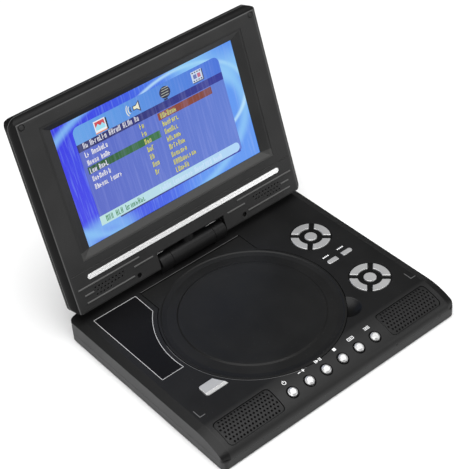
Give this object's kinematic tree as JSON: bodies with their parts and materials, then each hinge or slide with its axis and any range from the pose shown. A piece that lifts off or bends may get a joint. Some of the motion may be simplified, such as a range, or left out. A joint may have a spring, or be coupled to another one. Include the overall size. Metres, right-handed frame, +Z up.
{
  "type": "portable dvd player",
  "caption": "Clamshell portable DVD player with a tilting and swivelling widescreen lid, a lift-up disc door, silver keys and perforated speaker grilles.",
  "frame": {"origin": "middle of the base's footprint, on the plane that the rubber feet rest on", "axes": "+X to the user's right, +Y to the back where the lid is hinged, +Z up"},
  "size_m": [0.2068, 0.2068, 0.1625],
  "materials": {
    "base_plastic": "fine texture",
    "deck_plastic": "satin",
    "battery_wrap": "film",
    "inner_plastic": "moulded",
    "steel": "turned",
    "dark_steel": "blackened",
    "gloss_black": "polished",
    "speaker_black": "paper and plastic",
    "grille_plastic": "perforated",
    "sheet_steel": "pressed",
    "rubber": "soft",
    "circuit_board": "solder mask",
    "socket_black": "moulded",
    "door_plastic": "satin",
    "silver_keys": "silver paint",
    "lens_glass": "coated",
    "back_plastic": "gloss",
    "bezel_plastic": "satin",
    "frame_plastic": "satin",
    "screen": "lit display",
    "white_film": "diffuser",
    "bright_trim": "bright"
  },
  "bodies": {
    "base": {"bottom_case": "base_plastic", "top_case": "deck_plastic", "battery_pack": "battery_wrap", "battery_cover": "base_plastic", "disc_tray": "inner_plastic", "door_pins": "steel", "gloss_plate": "gloss_black", "speakers": "speaker_black", "speaker_grilles": "grille_plastic", "drive_chassis": "sheet_steel", "chassis_dampers": "rubber", "spindle_motor": "sheet_steel", "guide_rods": "steel", "sled_motor": "sheet_steel", "main_board": "circuit_board", "key_boards": "circuit_board", "dc_jack": "socket_black", "audio_jacks": "socket_black", "usb_socket": "sheet_steel", "rubber_feet": "rubber", "case_screws": "steel", "hinge_leaves": "sheet_steel", "hinge_shafts": "steel"},
    "door": {"disc_door": "door_plastic"},
    "open_key": {"open_button": "silver_keys"},
    "spindle": {"spindle_hub": "inner_plastic"},
    "pickup": {"optical_pickup": "inner_plastic", "pickup_lens": "lens_glass"},
    "feed_screw": {"lead_screw": "steel"},
    "switch": {"power_switch": "socket_black"},
    "turret": {"hinge_barrel": "deck_plastic", "swivel_post": "steel"},
    "lid": {"swivel_plate": "sheet_steel", "lid_back": "back_plastic", "lid_bezel": "bezel_plastic", "screen_frame": "frame_plastic", "lcd_panel": "screen", "backlight": "white_film", "screen_board": "circuit_board", "trim_strip": "bright_trim", "lid_screws": "dark_steel", "lid_bumpers": "rubber"},
    "front_key_1_body": {"front_key_1": "silver_keys"},
    "front_key_2_body": {"front_key_2": "silver_keys"},
    "front_key_3_body": {"front_key_3": "silver_keys"},
    "front_key_4_body": {"front_key_4": "silver_keys"},
    "front_key_5_body": {"front_key_5": "silver_keys"},
    "front_key_6_body": {"front_key_6": "silver_keys"},
    "pill_key_1_body": {"pill_key_1": "silver_keys"},
    "pill_key_2_body": {"pill_key_2": "silver_keys"},
    "upper_pad_right_body": {"upper_pad_right": "silver_keys"},
    "upper_pad_back_body": {"upper_pad_back": "silver_keys"},
    "upper_pad_left_body": {"upper_pad_left": "silver_keys"},
    "upper_pad_front_body": {"upper_pad_front": "silver_keys"},
    "upper_pad_centre_body": {"upper_pad_centre": "silver_keys"},
    "lower_pad_right_body": {"lower_pad_right": "silver_keys"},
    "lower_pad_back_body": {"lower_pad_back": "silver_keys"},
    "lower_pad_left_body": {"lower_pad_left": "silver_keys"},
    "lower_pad_front_body": {"lower_pad_front": "silver_keys"},
    "lower_pad_centre_body": {"lower_pad_centre": "silver_keys"}
  },
  "joints": [
    {"name": "screen_tilt", "type": "hinge", "parent": "base", "child": "turret", "pos_m": [0, 0.07622, 0.02575], "axis": [-1, 0, 0], "range_deg": [-107.4, 28]},
    {"name": "screen_swivel", "type": "hinge", "parent": "turret", "child": "lid", "pos_m": [0, 0.07741, 0.02538], "axis": [0, 0.299, 0.9542], "range_deg": [0, 180]},
    {"name": "disc_door_hinge", "type": "hinge", "parent": "base", "child": "door", "pos_m": [-0.0076, 0.0654, 0.0164], "axis": [-1, 0, 0], "range_deg": [0, 65]},
    {"name": "open_button_press", "type": "slide", "parent": "base", "child": "open_key", "axis": [0, 0, -1], "range_m": [0, 0.0005], "stiffness_N_per_m": 400},
    {"name": "spindle_spin", "type": "hinge", "parent": "base", "child": "spindle", "pos_m": [-0.0076, 0.0009, 0.012], "axis": [0, 0, 1], "continuous": true},
    {"name": "pickup_slide", "type": "slide", "parent": "base", "child": "pickup", "axis": [-1, 0, 0], "range_m": [0, 0.032]},
    {"name": "feed_screw_spin", "type": "hinge", "parent": "base", "child": "feed_screw", "pos_m": [-0.03, 0.0239, 0.0069], "axis": [1, 0, 0], "range_deg": [0, 3840]},
    {"name": "power_switch_slide", "type": "slide", "parent": "base", "child": "switch", "axis": [0, 1, 0], "range_m": [0, 0.003]},
    {"name": "front_key_1_press", "type": "slide", "parent": "base", "child": "front_key_1_body", "axis": [0, 0.3182, -0.948], "range_m": [0, 0.0008], "stiffness_N_per_m": 400},
    {"name": "front_key_2_press", "type": "slide", "parent": "base", "child": "front_key_2_body", "axis": [0, 0.3182, -0.948], "range_m": [0, 0.0008], "stiffness_N_per_m": 400},
    {"name": "front_key_3_press", "type": "slide", "parent": "base", "child": "front_key_3_body", "axis": [0, 0.3182, -0.948], "range_m": [0, 0.0008], "stiffness_N_per_m": 400},
    {"name": "front_key_4_press", "type": "slide", "parent": "base", "child": "front_key_4_body", "axis": [0, 0.3182, -0.948], "range_m": [0, 0.0008], "stiffness_N_per_m": 400},
    {"name": "front_key_5_press", "type": "slide", "parent": "base", "child": "front_key_5_body", "axis": [0, 0.3182, -0.948], "range_m": [0, 0.0008], "stiffness_N_per_m": 400},
    {"name": "front_key_6_press", "type": "slide", "parent": "base", "child": "front_key_6_body", "axis": [0, 0.3182, -0.948], "range_m": [0, 0.0008], "stiffness_N_per_m": 400},
    {"name": "pill_key_1_press", "type": "slide", "parent": "base", "child": "pill_key_1_body", "axis": [0, 0, -1], "range_m": [0, 0.0005], "stiffness_N_per_m": 400},
    {"name": "pill_key_2_press", "type": "slide", "parent": "base", "child": "pill_key_2_body", "axis": [0, 0, -1], "range_m": [0, 0.0005], "stiffness_N_per_m": 400},
    {"name": "upper_pad_right_press", "type": "slide", "parent": "base", "child": "upper_pad_right_body", "axis": [0, 0, -1], "range_m": [0, 0.0005], "stiffness_N_per_m": 400},
    {"name": "upper_pad_back_press", "type": "slide", "parent": "base", "child": "upper_pad_back_body", "axis": [0, 0, -1], "range_m": [0, 0.0005], "stiffness_N_per_m": 400},
    {"name": "upper_pad_left_press", "type": "slide", "parent": "base", "child": "upper_pad_left_body", "axis": [0, 0, -1], "range_m": [0, 0.0005], "stiffness_N_per_m": 400},
    {"name": "upper_pad_front_press", "type": "slide", "parent": "base", "child": "upper_pad_front_body", "axis": [0, 0, -1], "range_m": [0, 0.0005], "stiffness_N_per_m": 400},
    {"name": "upper_pad_centre_press", "type": "slide", "parent": "base", "child": "upper_pad_centre_body", "axis": [0, 0, -1], "range_m": [0, 0.0005], "stiffness_N_per_m": 400},
    {"name": "lower_pad_right_press", "type": "slide", "parent": "base", "child": "lower_pad_right_body", "axis": [0, 0, -1], "range_m": [0, 0.0005], "stiffness_N_per_m": 400},
    {"name": "lower_pad_back_press", "type": "slide", "parent": "base", "child": "lower_pad_back_body", "axis": [0, 0, -1], "range_m": [0, 0.0005], "stiffness_N_per_m": 400},
    {"name": "lower_pad_left_press", "type": "slide", "parent": "base", "child": "lower_pad_left_body", "axis": [0, 0, -1], "range_m": [0, 0.0005], "stiffness_N_per_m": 400},
    {"name": "lower_pad_front_press", "type": "slide", "parent": "base", "child": "lower_pad_front_body", "axis": [0, 0, -1], "range_m": [0, 0.0005], "stiffness_N_per_m": 400},
    {"name": "lower_pad_centre_press", "type": "slide", "parent": "base", "child": "lower_pad_centre_body", "axis": [0, 0, -1], "range_m": [0, 0.0005], "stiffness_N_per_m": 400}
  ],
  "couplings": [
    {"joint": "feed_screw_spin", "follows": "pickup_slide", "rad_per_m": 2094.4}
  ]
}
